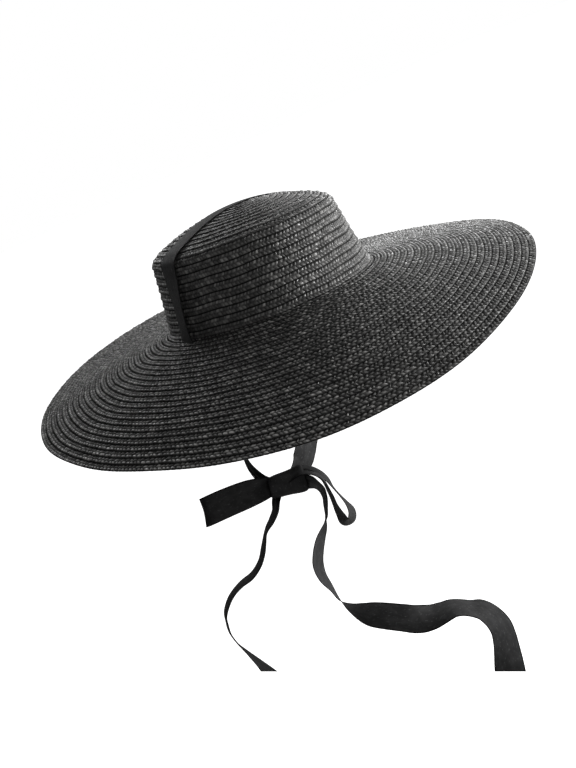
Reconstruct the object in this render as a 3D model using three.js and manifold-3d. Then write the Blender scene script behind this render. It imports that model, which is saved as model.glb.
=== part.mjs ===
// Wide brim straw hat with a ribbon over the crown and a bow below the brim.
// Millimetres, Z up along the crown's axis, X from ear to ear, -Y the back of the hat.
// The origin is the middle of the head opening, in the plane where crown and brim meet.
import * as THREE from 'three';
import { mergeVertices } from 'three/addons/utils/BufferGeometryUtils.js';
import Module from 'manifold-3d';

const wasm = await Module();
wasm.setup();

// Sizes of the straw
const headHalfX = 84;
const headHalfY = 101;
const wallTaper = 10.5;
const wallHeight = 63.6;
const domeRise = 18.4;
const domeLean = -0.013;
const crownTip = { slope: -0.018, from: 20, to: 62 };
const strawThickness = 2.4;
const seamGap = 0.3;
const crownSegments = 64;
const brimSegments = 84;

// Sizes of the ribbon
const ribbonWidth = 23;
const ribbonThickness = 1;
const ribbonGap = 0.35;
const ribbonBehind = -2.4;
const slotOut = 87.9;
const slotBehind = -3.4;
const slotTurn = 9;
const slotHalfThick = ribbonThickness / 2 + ribbonGap;
const slotHalfWide = ribbonWidth / 2 + 0.4;
const ribbonEndHeight = -8;

// The bow hangs plumb below the tipped hat: its middle, its rightward and its upward direction
const knotMiddle = new THREE.Vector3(-72.5, -23.9, -138);
const bowRight = new THREE.Vector3(0.7437, -0.5452, -0.3868).normalize();
const bowUp = new THREE.Vector3(0.4532, -0.014, 0.8913).normalize();
const bowToward = new THREE.Vector3().crossVectors(bowRight, bowUp).normalize();

// Knot: half sizes along, across and through, the slope of its long side in degrees, its growth to the right,
// its middle to the right and up, and how far each end is drawn in
const knotHalf = { along: 16.2, across: 10.4, through: 8.5 };
const knotSlope = 18;
const knotTaper = 0.14;
const knotSquareness = 2.6;
const knotOffset = { right: 3.8, up: 1 };
const knotDrawn = { left: 0.2, right: 0.4 };
const knotStations = [-1, -0.97, -0.85, -0.5, 0, 0.5, 0.8, 0.93, 1];
const knotRound = 28;

// Outer face of the crown: half width on X at each height, from the foot to the top
const crownRows = [
  { half: 85.4, height: 1.2 + seamGap },
  { half: 84.0, height: 3.6 },
  { half: 83.1, height: 7 },
  { half: 81.4, height: 17 },
  { half: 78.9, height: 32 },
  { half: 76.3, height: 49 },
  { half: 75, height: 57.5 },
  { half: 74.4, height: 60.4 },
  { half: 72.2, height: 62.9 },
  { half: 67.8, height: 66.1 },
  { half: 59.7, height: 69.8 },
  { half: 45.1, height: 75 },
  { half: 30.6, height: 78.7 },
  { half: 14.6, height: 81.3 },
];
const crownTop = wallHeight + domeRise;

// Brim width and droop round the oval, one row per number of waves, in cosine and sine parts
const brimWaves = [
  { waves: 0, widthCos: 128.8, widthSin: 0, droopCos: 32.9, droopSin: 0 },
  { waves: 1, widthCos: 1.4, widthSin: 6.8, droopCos: -13, droopSin: -25.4 },
  { waves: 2, widthCos: 2.1, widthSin: -2.2, droopCos: -0.3, droopSin: 4.5 },
  { waves: 3, widthCos: 0, widthSin: -0.2, droopCos: 2, droopSin: 2.6 },
  { waves: 4, widthCos: -0.1, widthSin: -0.1, droopCos: 0.4, droopSin: -0.3 },
];
const brimBow = 0.27;
const brimShares = [0, 0.06, 0.2, 0.4, 0.6, 0.8, 1];

// Half of the crown ribbon's run, from below the slot up to the crown's edge.
// Turn swings its near edge outward, and behind is where its middle lies from front to back.
const ribbonSide = [
  { out: slotOut, height: ribbonEndHeight, turn: slotTurn, behind: slotBehind },
  { out: slotOut, height: -3, turn: slotTurn, behind: slotBehind },
  { out: slotOut, height: 1.5, turn: slotTurn, behind: slotBehind },
  { out: 87.6, height: 5, turn: 11, behind: -3.2 },
  { out: 86.9, height: 9, turn: 12.5, behind: -3 },
  { out: 84.6, height: 20, turn: 13.5, behind: -2.6 },
  { out: 81.6, height: 34, turn: 10.5, behind: ribbonBehind },
  { out: 78.1, height: 49, turn: 4.5, behind: ribbonBehind },
  { out: 76.3, height: 57.9, turn: 2, behind: ribbonBehind },
  { out: 75.7, height: 60.9, turn: 0.5, behind: ribbonBehind },
  { out: 74.3, height: 62.9, turn: 0, behind: ribbonBehind },
  { out: 71.6, height: 65.1, turn: 0, behind: ribbonBehind },
  { out: 68.3, height: 67.4, turn: 0, behind: ribbonBehind },
];

// Ribbon runs of the bow, to the right, up and forward from the knot's middle, seen from the front.
// Turn is the roll of the band about its own run, 0 with its face to the front; gather is its width share.
const tieLeftRows = [
  { right: -53.5, up: 65.5, toward: 8, turn: 70, gather: 1 },
  { right: -38.8, up: 35, toward: 0, turn: 78, gather: 1 },
  { right: -31.6, up: 22, toward: -3.5, turn: 81, gather: 0.85 },
  { right: -25.4, up: 11.5, toward: -5.5, turn: 71, gather: 0.66 },
  { right: -17.5, up: 4, toward: -5.6, turn: 60, gather: 0.5 },
  { right: -5, up: 0, toward: -3.5, turn: 60, gather: 0.3 },
];
const tieRightRows = [
  { right: 38, up: 112, toward: -42, turn: 137, gather: 1 },
  { right: 20.3, up: 36, toward: -17, turn: 140, gather: 1 },
  { right: 18.4, up: 26, toward: -14, turn: 146, gather: 0.94 },
  { right: 15.8, up: 17.5, toward: -12, turn: 158, gather: 0.82 },
  { right: 10, up: 9.5, toward: -8.6, turn: 160, gather: 0.5 },
  { right: 4, up: 2, toward: -3.5, turn: 160, gather: 0.3 },
];
const tailLeftRows = [
  { right: -2, up: -2, toward: -2.5, turn: 66, gather: 0.35 },
  { right: -5.5, up: -12.5, toward: -2, turn: 70, gather: 0.6 },
  { right: -6.2, up: -21.7, toward: 0, turn: 77, gather: 0.95 },
  { right: -9.4, up: -30, toward: 1, turn: 80, gather: 1 },
  { right: -13.8, up: -38.3, toward: 2, turn: 84.5, gather: 1 },
  { right: -15.2, up: -46.6, toward: 2, turn: 82, gather: 1 },
  { right: -16.3, up: -54.4, toward: 2, turn: 80, gather: 1 },
  { right: -18.8, up: -64.4, toward: 2, turn: 81.5, gather: 1 },
  { right: -25.2, up: -74.7, toward: 2, turn: 82.5, gather: 1 },
  { right: -33.6, up: -81.4, toward: 2, turn: 83.5, gather: 1 },
  { right: -39.8, up: -88.2, toward: 2, turn: 83.5, gather: 1 },
  { right: -44.5, up: -96.6, toward: 1.5, turn: 81.5, gather: 1 },
  { right: -47.1, up: -107, toward: 1, turn: 81, gather: 1 },
  { right: -45.8, up: -114.5, toward: 0.5, turn: 80.5, gather: 1 },
  { right: -43.4, up: -122.2, toward: 0, turn: 79.5, gather: 1 },
  { right: -36.8, up: -131.3, toward: -0.5, turn: 79.5, gather: 1 },
  { right: -28.6, up: -139.2, toward: -1, turn: 85.5, gather: 1 },
  { right: -19, up: -147.5, toward: -1, turn: 93, gather: 1 },
  { right: -10.5, up: -154.7, toward: -1, turn: 99.5, gather: 1 },
  { right: -0.3, up: -163.6, toward: -1, turn: 106.5, gather: 1 },
];
const tailRightRows = [
  { right: 5, up: 0.5, toward: -2, turn: 40, gather: 0.3 },
  { right: 13.5, up: 1.6, toward: -2, turn: 42, gather: 0.52 },
  { right: 21.7, up: 1.5, toward: -2, turn: 52, gather: 0.78 },
  { right: 27.2, up: -0.6, toward: -1.5, turn: 69, gather: 0.95 },
  { right: 31.8, up: -4.4, toward: -1, turn: 75, gather: 1 },
  { right: 34.3, up: -10.4, toward: 0, turn: 81, gather: 1 },
  { right: 35, up: -18.1, toward: 0, turn: 83.5, gather: 1 },
  { right: 35.5, up: -26.2, toward: 0, turn: 88, gather: 1 },
  { right: 33.7, up: -36, toward: 0, turn: 104.5, gather: 1 },
  { right: 30.9, up: -45.3, toward: 0, turn: 112, gather: 1 },
  { right: 29.1, up: -55.7, toward: 0, turn: 114, gather: 1 },
  { right: 29, up: -65.7, toward: 0, turn: 113, gather: 1 },
  { right: 32.7, up: -76, toward: 0, turn: 106, gather: 1 },
  { right: 39.8, up: -85.1, toward: 0, turn: 96, gather: 1 },
  { right: 46.2, up: -94.1, toward: 0, turn: 88, gather: 1 },
  { right: 54.7, up: -100.3, toward: 0.5, turn: 66.5, gather: 1 },
  { right: 62.8, up: -103.8, toward: 1, turn: 45, gather: 1 },
  { right: 72.8, up: -106.6, toward: 1.5, turn: 20, gather: 1 },
  { right: 84.9, up: -108, toward: 2, turn: 8.5, gather: 1 },
  { right: 98.4, up: -109.4, toward: 2, turn: 3, gather: 1 },
  { right: 110, up: -110.6, toward: 1.5, turn: -10, gather: 1 },
  { right: 122.1, up: -108.8, toward: 1, turn: -39, gather: 1 },
  { right: 131.5, up: -105.1, toward: 0.5, turn: -54, gather: 1 },
  { right: 138.8, up: -102.1, toward: 0, turn: -61.5, gather: 1 },
  { right: 146.6, up: -101.3, toward: 0, turn: -65.5, gather: 1 },
  { right: 155.3, up: -102.2, toward: 0, turn: -64, gather: 1 },
  { right: 163.5, up: -103.5, toward: 0, turn: -51.5, gather: 1 },
  { right: 171.9, up: -108.7, toward: 0, turn: -41, gather: 1 },
  { right: 179.1, up: -117.4, toward: 0, turn: -29.5, gather: 1 },
  { right: 182.2, up: -126.5, toward: 0, turn: -22.5, gather: 1 },
  { right: 184.2, up: -137, toward: 0, turn: -12.5, gather: 1.02 },
  { right: 186.8, up: -154.1, toward: 0, turn: 3, gather: 1.1 },
  { right: 188.8, up: -166.1, toward: 0, turn: 6, gather: 1.13 },
];
const loopRightRows = [
  { right: 4, up: 5.5, toward: -1.5, turn: 112, gather: 0.32 },
  { right: 15, up: 13, toward: -4, turn: 114, gather: 0.42 },
  { right: 24, up: 12.2, toward: -5, turn: 112, gather: 0.52 },
  { right: 30.5, up: 9, toward: -4.5, turn: 108, gather: 0.65 },
  { right: 35.7, up: 4.2, toward: -3, turn: 101, gather: 0.85 },
  { right: 40.1, up: -1.4, toward: -1.5, turn: 92, gather: 1 },
  { right: 46, up: -8.2, toward: -0.5, turn: 90.5, gather: 1 },
  { right: 52.6, up: -16, toward: 0, turn: 96, gather: 1 },
  { right: 56.6, up: -23, toward: 0, turn: 107, gather: 1 },
  { right: 56.2, up: -29, toward: 0, turn: 111, gather: 1 },
  { right: 51.4, up: -30.9, toward: 0, turn: 112, gather: 1 },
  { right: 47.6, up: -25.4, toward: 0, turn: 107, gather: 1 },
  { right: 42.7, up: -16.2, toward: 0.5, turn: 99, gather: 1 },
  { right: 39, up: -7.8, toward: 1.5, turn: 98, gather: 1 },
  { right: 35.4, up: -1, toward: 3, turn: 98, gather: 0.85 },
  { right: 30.2, up: 5.8, toward: 5, turn: 98, gather: 0.65 },
  { right: 23.4, up: 9.2, toward: 6, turn: 98, gather: 0.5 },
  { right: 14, up: 8.6, toward: 6, turn: 100, gather: 0.42 },
  { right: 4, up: 2.5, toward: 4.5, turn: 100, gather: 0.32 },
];

// Left loop: the same three distances, and the one direction in which the band is wide
const loopLeftRows = [
  { right: -4, up: 0.5, toward: 2.6, gather: 0.36 },
  { right: -13, up: -2.8, toward: 4, gather: 0.74 },
  { right: -27, up: -7.4, toward: 4.6, gather: 0.96 },
  { right: -46, up: -15, toward: 4.4, gather: 1.03 },
  { right: -62, up: -22.2, toward: 3.8, gather: 1.04 },
  { right: -65, up: -23.5, toward: 2.2, gather: 1.04 },
  { right: -62, up: -22.2, toward: 0.6, gather: 1.04 },
  { right: -46, up: -15, toward: 0, gather: 1.03 },
  { right: -27, up: -7.4, toward: -0.2, gather: 0.96 },
  { right: -13, up: -2.8, toward: 0.4, gather: 0.74 },
  { right: -4, up: 0.5, toward: -0.2, gather: 0.36 },
];
const loopLeftWide = new THREE.Vector3(-0.2, 0.98, 0);

// Both tails end in one plane cut, this far below the knot's middle and rising toward the viewer
const tailLevel = -154;
const tailSlope = 0.256;

// Solids from triangles
function solidFrom(points, triangles) {
  const geometry = new THREE.BufferGeometry();
  geometry.setAttribute('position', new THREE.Float32BufferAttribute(points.flat(), 3));
  geometry.setIndex(triangles.flat());
  return mergeVertices(geometry, 1e-5);
}

function toManifold(geometry) {
  const plain = new THREE.BufferGeometry();
  plain.setAttribute('position', geometry.getAttribute('position').clone());
  if (geometry.index) plain.setIndex(geometry.index.clone());
  const merged = mergeVertices(plain, 1e-5);
  const mesh = new wasm.Mesh({
    numProp: 3,
    vertProperties: new Float32Array(merged.getAttribute('position').array),
    triVerts: new Uint32Array(merged.index.array),
  });
  return new wasm.Manifold(mesh);
}

function fromManifold(solid) {
  const mesh = solid.getMesh();
  const geometry = new THREE.BufferGeometry();
  geometry.setAttribute('position', new THREE.Float32BufferAttribute(Array.from(mesh.vertProperties), 3));
  geometry.setIndex(Array.from(mesh.triVerts));
  return geometry;
}

// The oval grows evenly outside the crown's edge and keeps its shape inside it
const crownEdge = headHalfX - wallTaper;

function halfYOf(halfX) {
  if (halfX >= crownEdge) return halfX + headHalfY - headHalfX;
  return (halfX / crownEdge) * (headHalfY - wallTaper);
}

// The crown's top tips sideways, from nothing low on the wall to its full slope at the edge
function tipAt(x, height) {
  const share = (height - crownTip.from) / (crownTip.to - crownTip.from);
  return crownTip.slope * x * THREE.MathUtils.clamp(share, 0, 1);
}

// Crown: outer rings up to the top, inner rings offset by the straw's thickness, joined at the foot
function crownSolid() {
  const points = [];
  const triangles = [];
  const rowCount = crownRows.length;
  const normals = crownRows.map((row, i) => {
    const before = crownRows[Math.max(i - 1, 0)];
    const after = crownRows[i + 1] ?? { half: 0, height: crownTop };
    const length = Math.hypot(after.half - before.half, after.height - before.height);
    const out = { x: (after.height - before.height) / length, z: (before.half - after.half) / length };
    return i === 0 ? { x: 1, z: 0 } : out;
  });
  const ring = (row, inward, sink) => {
    const inside = 1 - Math.min(row.half / crownEdge, 1) ** 2;
    for (let k = 0; k < crownSegments; k += 1) {
      const angle = (2 * Math.PI * k) / crownSegments;
      const x = (row.half - inward) * Math.cos(angle);
      const y = (halfYOf(row.half) - inward) * Math.sin(angle);
      points.push([x, y, row.height - sink + domeLean * y * inside + tipAt(x, row.height)]);
    }
  };
  crownRows.forEach((row) => ring(row, 0, 0));
  crownRows.forEach((row, i) => ring(row, strawThickness * normals[i].x, strawThickness * normals[i].z));
  const outerTop = points.length;
  points.push([0, 0, crownTop]);
  const innerTop = points.length;
  points.push([0, 0, crownTop - strawThickness]);
  for (let k = 0; k < crownSegments; k += 1) {
    const n = (k + 1) % crownSegments;
    for (let i = 0; i < rowCount - 1; i += 1) {
      const a = i * crownSegments;
      const b = a + crownSegments;
      triangles.push([a + k, a + n, b + n], [a + k, b + n, b + k]);
      const c = (rowCount + i) * crownSegments;
      const d = c + crownSegments;
      triangles.push([c + k, d + n, c + n], [c + k, d + k, d + n]);
    }
    const outerLast = (rowCount - 1) * crownSegments;
    const innerFoot = rowCount * crownSegments;
    const innerLast = (2 * rowCount - 1) * crownSegments;
    triangles.push([outerLast + k, outerLast + n, outerTop]);
    triangles.push([innerLast + k, innerTop, innerLast + n]);
    triangles.push([k, innerFoot + n, n], [k, innerFoot + k, innerFoot + n]);
  }
  return solidFrom(points, triangles);
}

// Brim: an oval ring whose width and droop vary round the hat, with a slot for the ribbon at each ear
function brimSum(angle, cosName, sinName) {
  const wave = (row) => {
    const turn = row.waves * angle;
    return row[cosName] * Math.cos(turn) + row[sinName] * Math.sin(turn);
  };
  return brimWaves.reduce((sum, row) => sum + wave(row), 0);
}

function brimPoint(angle, share, inset, lift) {
  const normal = new THREE.Vector2(headHalfY * Math.cos(angle), headHalfX * Math.sin(angle)).normalize();
  const outward = brimSum(angle, 'widthCos', 'widthSin') * share - inset;
  const bowed = (1 - brimBow) * share + brimBow * share * share;
  const height = -brimSum(angle, 'droopCos', 'droopSin') * bowed;
  return [
    headHalfX * Math.cos(angle) + normal.x * outward,
    headHalfY * Math.sin(angle) + normal.y * outward,
    height + lift,
  ];
}

function brimSolid() {
  const half = strawThickness / 2;
  const stations = [{ share: 0, inset: strawThickness, lift: half }];
  brimShares.slice(1).forEach((share) => stations.push({ share, inset: 0, lift: half }));
  brimShares.slice(1).reverse().forEach((share) => stations.push({ share, inset: 0, lift: -half }));
  stations.push({ share: 0, inset: strawThickness, lift: -half });
  const points = [];
  const triangles = [];
  for (let k = 0; k < brimSegments; k += 1) {
    const angle = (2 * Math.PI * k) / brimSegments;
    stations.forEach((s) => points.push(brimPoint(angle, s.share, s.inset, s.lift)));
  }
  const count = stations.length;
  for (let k = 0; k < brimSegments; k += 1) {
    const a = k * count;
    const b = ((k + 1) % brimSegments) * count;
    for (let i = 0; i < count; i += 1) {
      const j = (i + 1) % count;
      triangles.push([a + i, a + j, b + j], [a + i, b + j, b + i]);
    }
  }
  let solid = toManifold(solidFrom(points, triangles));
  [-1, 1].forEach((side) => {
    const slot = new THREE.BoxGeometry(2 * slotHalfThick, 2 * slotHalfWide, 30);
    slot.rotateZ(side * THREE.MathUtils.degToRad(slotTurn));
    slot.translate(side * slotOut, slotBehind, 0);
    solid = solid.subtract(toManifold(slot));
  });
  return fromManifold(solid);
}

// Band: a flat ribbon swept along a curve, with its own wide direction and width at each section
function bandSolid(curve, sections, wideAt, widthAt) {
  const points = [];
  const triangles = [];
  for (let i = 0; i <= sections; i += 1) {
    const u = i / sections;
    const middle = curve.getPoint(u);
    const run = curve.getTangent(u).normalize();
    const wide = wideAt(u, run).clone();
    wide.addScaledVector(run, -wide.dot(run)).normalize();
    const face = new THREE.Vector3().crossVectors(run, wide);
    [[-1, -1], [1, -1], [1, 1], [-1, 1]].forEach(([w, f]) => {
      const corner = middle.clone();
      corner.addScaledVector(wide, (w * widthAt(u)) / 2);
      corner.addScaledVector(face, (f * ribbonThickness) / 2);
      points.push(corner.toArray());
    });
  }
  for (let i = 0; i < sections; i += 1) {
    for (let j = 0; j < 4; j += 1) {
      const a = 4 * i + j;
      const b = 4 * i + ((j + 1) % 4);
      triangles.push([a, b, b + 4], [a, b + 4, a + 4]);
    }
  }
  const last = 4 * sections;
  triangles.push([0, 2, 1], [0, 3, 2], [last, last + 1, last + 2], [last, last + 2, last + 3]);
  return solidFrom(points, triangles);
}

// Value of a column on a smooth curve through the rows of a table, with u running evenly over the rows
function columnAt(rows, name, u) {
  const place = Math.min(u, 1) * (rows.length - 1);
  const low = Math.min(Math.floor(place), rows.length - 2);
  const mix = place - low;
  const value = (n) => rows[Math.min(Math.max(n, 0), rows.length - 1)][name];
  const step = value(low + 1) - value(low);
  const before = (value(low + 1) - value(low - 1)) / 2;
  const after = (value(low + 2) - value(low)) / 2;
  const second = 3 * step - 2 * before - after;
  const third = before + after - 2 * step;
  return value(low) + mix * (before + mix * (second + mix * third));
}

function bowVector(right, up, toward) {
  const out = new THREE.Vector3();
  out.addScaledVector(bowRight, right).addScaledVector(bowUp, up).addScaledVector(bowToward, toward);
  return out;
}

function bowCurve(rows) {
  const points = rows.map((row) => bowVector(row.right, row.up, row.toward).add(knotMiddle));
  return new THREE.CatmullRomCurve3(points, false, 'centripetal');
}

function turnedBand(rows, sections) {
  const wideAt = (u, run) => {
    const turn = THREE.MathUtils.degToRad(columnAt(rows, 'turn', u));
    const flat = new THREE.Vector3().crossVectors(bowToward, run).normalize();
    const through = new THREE.Vector3().crossVectors(run, flat);
    return flat.multiplyScalar(Math.cos(turn)).addScaledVector(through, Math.sin(turn));
  };
  return bandSolid(bowCurve(rows), sections, wideAt, (u) => ribbonWidth * columnAt(rows, 'gather', u));
}

function loopBand(rows, sections, wide) {
  const direction = bowVector(wide.x, wide.y, wide.z);
  const widthAt = (u) => ribbonWidth * columnAt(rows, 'gather', u);
  return bandSolid(bowCurve(rows), sections, () => direction, widthAt);
}

// A chin tie starts under its slot with its width along the slot and turns toward the bow
function tieBand(side, rows, sections) {
  const start = new THREE.Vector3(side * slotOut, slotBehind, ribbonEndHeight - ribbonGap);
  const below = new THREE.Vector3(side * slotOut, slotBehind, ribbonEndHeight - 6);
  const points = [start, below, ...rows.map((r) => bowVector(r.right, r.up, r.toward).add(knotMiddle))];
  const curve = new THREE.CatmullRomCurve3(points, false, 'centripetal');
  const lead = 2;
  const inRows = (u) => Math.max(0, (u * (points.length - 1) - lead) / (rows.length - 1));
  const slotAngle = THREE.MathUtils.degToRad(slotTurn);
  const alongSlot = new THREE.Vector3(side * Math.sin(slotAngle), -Math.cos(slotAngle), 0);
  const turnedAt = (u, run) => {
    const turn = THREE.MathUtils.degToRad(columnAt(rows, 'turn', inRows(u)));
    const flat = new THREE.Vector3().crossVectors(bowToward, run).normalize();
    const through = new THREE.Vector3().crossVectors(run, flat);
    return flat.multiplyScalar(Math.cos(turn)).addScaledVector(through, Math.sin(turn));
  };
  const leadShare = lead / (points.length - 1);
  const ahead = turnedAt(leadShare, curve.getTangent(leadShare)).dot(alongSlot) < 0 ? -1 : 1;
  const wideAt = (u, run) => {
    const mix = THREE.MathUtils.smoothstep(u * (points.length - 1), 0.6, lead);
    return turnedAt(u, run).multiplyScalar(ahead).lerp(alongSlot, 1 - mix);
  };
  return bandSolid(curve, sections, wideAt, (u) => ribbonWidth * columnAt(rows, 'gather', inRows(u)));
}

// Tail: a turned band that runs past its end and is cut off by the plane
function tailBand(rows, sections) {
  const depth = 40;
  const below = new THREE.BoxGeometry(400, depth, 100);
  below.translate(0, -depth / 2, 0);
  below.rotateX(-Math.atan(tailSlope));
  below.translate(60, tailLevel, 0);
  below.applyMatrix4(new THREE.Matrix4().makeBasis(bowRight, bowUp, bowToward).setPosition(knotMiddle));
  return fromManifold(toManifold(turnedBand(rows, sections)).subtract(toManifold(below)));
}

// Crown ribbon: up from one slot, over the dome and down to the other
function crownRibbon() {
  const lift = ribbonGap + ribbonThickness / 2 + 0.25;
  const over = [-0.72, -0.5, -0.25, 0, 0.25, 0.5, 0.72].map((share) => {
    const height = wallHeight + domeRise * (1 - share * share) + lift;
    return { x: share * crownEdge, height, turn: 0, behind: ribbonBehind };
  });
  const up = ribbonSide.map(({ out, ...row }) => ({ x: -out, ...row }));
  const down = ribbonSide.map(({ out, turn, ...row }) => ({ x: out, turn: -turn, ...row })).reverse();
  const rows = [...up, ...over, ...down];
  const points = rows.map(({ x, behind, height }) => {
    return new THREE.Vector3(x, behind, height + tipAt(x, height));
  });
  const curve = new THREE.CatmullRomCurve3(points, false, 'centripetal');
  const wideAt = (u) => {
    const turn = THREE.MathUtils.degToRad(columnAt(rows, 'turn', u));
    return new THREE.Vector3(Math.sin(turn), Math.cos(turn), 0);
  };
  return bandSolid(curve, 90, wideAt, () => ribbonWidth);
}

// Knot: squarish oval sections along the slope of the bow, larger to the right, drawn in at both ends
function knotSolid(grow) {
  const slope = THREE.MathUtils.degToRad(knotSlope);
  const power = 2 / knotSquareness;
  const spot = (along, across, through) => {
    const right = along * Math.cos(slope) - across * Math.sin(slope) + knotOffset.right;
    const up = along * Math.sin(slope) + across * Math.cos(slope) + knotOffset.up;
    return bowVector(right, up, through).add(knotMiddle).toArray();
  };
  const points = [];
  const triangles = [];
  knotStations.forEach((a) => {
    const drawn = a < 0 ? knotDrawn.left : knotDrawn.right;
    const size = 1 - drawn + drawn * Math.sqrt(1 - Math.abs(a) ** 8);
    for (let k = 0; k < knotRound; k += 1) {
      const angle = (2 * Math.PI * k) / knotRound;
      const c = Math.sign(Math.cos(angle)) * Math.abs(Math.cos(angle)) ** power;
      const s = Math.sign(Math.sin(angle)) * Math.abs(Math.sin(angle)) ** power;
      const across = c * (knotHalf.across * size * (1 + knotTaper * a) + grow);
      points.push(spot(a * (knotHalf.along + grow), across, s * (knotHalf.through * size + grow)));
    }
  });
  const lastRing = (knotStations.length - 1) * knotRound;
  const leftEnd = points.length;
  points.push(spot(-knotHalf.along - grow, 0, 0));
  const rightEnd = points.length;
  points.push(spot(knotHalf.along + grow, 0, 0));
  for (let k = 0; k < knotRound; k += 1) {
    const n = (k + 1) % knotRound;
    for (let ringStart = 0; ringStart < lastRing; ringStart += knotRound) {
      const next = ringStart + knotRound;
      triangles.push([ringStart + k, ringStart + n, next + n], [ringStart + k, next + n, next + k]);
    }
    triangles.push([leftEnd, n, k], [rightEnd, lastRing + k, lastRing + n]);
  }
  return solidFrom(points, triangles);
}

const knotRoom = toManifold(knotSolid(ribbonGap + 0.05));
const clearOfKnot = (geometry) => fromManifold(toManifold(geometry).subtract(knotRoom));

// Assembly
const straw = { color: 0x262524, roughness: 0.55, metalness: 0 };
const ribbon = { color: 0x2a2a2c, roughness: 0.8, metalness: 0 };
const pieces = [
  { name: 'crown', geometry: crownSolid(), look: straw },
  { name: 'brim', geometry: brimSolid(), look: straw },
  { name: 'crown_ribbon', geometry: crownRibbon(), look: ribbon },
  { name: 'chin_tie_left', geometry: clearOfKnot(tieBand(-1, tieLeftRows, 40)), look: ribbon },
  { name: 'chin_tie_right', geometry: clearOfKnot(tieBand(1, tieRightRows, 40)), look: ribbon },
  { name: 'bow_knot', geometry: knotSolid(0), look: ribbon },
  { name: 'bow_loop_left', geometry: clearOfKnot(loopBand(loopLeftRows, 60, loopLeftWide)), look: ribbon },
  { name: 'bow_loop_right', geometry: clearOfKnot(turnedBand(loopRightRows, 80)), look: ribbon },
  { name: 'tail_left', geometry: clearOfKnot(tailBand(tailLeftRows, 70)), look: ribbon },
  { name: 'tail_right', geometry: clearOfKnot(tailBand(tailRightRows, 116)), look: ribbon },
];

const hat = new THREE.Group();
hat.name = 'straw_hat';
pieces.forEach(({ name, geometry, look }) => {
  geometry.computeVertexNormals();
  const mesh = new THREE.Mesh(geometry, new THREE.MeshStandardMaterial(look));
  mesh.name = name;
  hat.add(mesh);
});

export default hat;
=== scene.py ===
import math
import bpy
import numpy as np
from mathutils import Matrix


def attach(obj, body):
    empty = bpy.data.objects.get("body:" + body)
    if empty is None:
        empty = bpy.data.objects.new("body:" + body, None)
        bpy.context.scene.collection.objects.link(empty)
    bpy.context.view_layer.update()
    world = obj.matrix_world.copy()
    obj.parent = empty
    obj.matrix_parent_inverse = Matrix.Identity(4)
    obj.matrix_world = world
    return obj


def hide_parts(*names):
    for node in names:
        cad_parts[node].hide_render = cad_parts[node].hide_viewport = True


# Wide brim straw hat of sewn braid, with a ribbon over the crown and a bow below the brim.
# Sizes here are millimetres in the part's own frame, and meshes are metres.
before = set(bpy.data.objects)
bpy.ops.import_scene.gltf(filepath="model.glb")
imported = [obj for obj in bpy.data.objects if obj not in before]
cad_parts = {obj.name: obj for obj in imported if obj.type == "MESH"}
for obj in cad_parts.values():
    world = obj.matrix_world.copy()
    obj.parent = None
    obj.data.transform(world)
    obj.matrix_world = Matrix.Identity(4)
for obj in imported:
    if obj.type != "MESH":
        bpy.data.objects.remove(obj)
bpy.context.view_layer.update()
mm = 0.001
scene = bpy.context.scene
draw = np.random.default_rng(11)
print("frame loaded:", ", ".join(sorted(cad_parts)))


# Camera at the picture's own place, found from the brim's edge and the braid rows
pictureView = {
    "place": (-486.2, -801.8, 152.4),
    "right": (0.7437, -0.5452, -0.3868),
    "up": (0.4532, -0.0140, 0.8913),
    "focalPixels": 1124.87,
    "longSidePixels": 768,
    "sensor": 36.0,
    "clip": (0.01, 60.0),
}


def unit(v):
    return v / np.maximum(np.linalg.norm(v, axis=-1, keepdims=True), 1e-12)


def viewAxes(view):
    # right and up made square to each other, and the direction back toward the viewer
    right = unit(np.array(view["right"]))
    back = unit(np.cross(right, np.array(view["up"])))
    return right, np.cross(back, right), back


def addCamera(view):
    data = bpy.data.cameras.new("picture_camera")
    data.sensor_width = view["sensor"]
    data.lens = view["focalPixels"] * view["sensor"] / view["longSidePixels"]
    data.clip_start, data.clip_end = view["clip"]
    camera = bpy.data.objects.new("picture_camera", data)
    axes = np.eye(4)
    axes[:3, :3] = np.stack(viewAxes(view), axis=1)
    axes[:3, 3] = np.array(view["place"]) * mm
    camera.matrix_world = Matrix(axes.tolist())
    scene.collection.objects.link(camera)
    scene.camera = camera


addCamera(pictureView)
print("camera placed")


# Mesh from grids: a grid is points by two counts, closed on itself where it says so, with its own UV values
def gridFaces(rows, columns, closeRows, closeColumns):
    # quads between neighbours, first along the rows, then across the columns
    i = np.arange(rows if closeRows else rows - 1)[:, None]
    j = np.arange(columns if closeColumns else columns - 1)[None, :]
    corners = [(i, j), (i + 1, j), (i + 1, j + 1), (i, j + 1)]
    flat = [np.broadcast_arrays(a, b) for a, b in corners]
    points = np.stack([(a % rows) * columns + b % columns for a, b in flat], axis=-1)
    return points.reshape(-1, 4), flat


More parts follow.
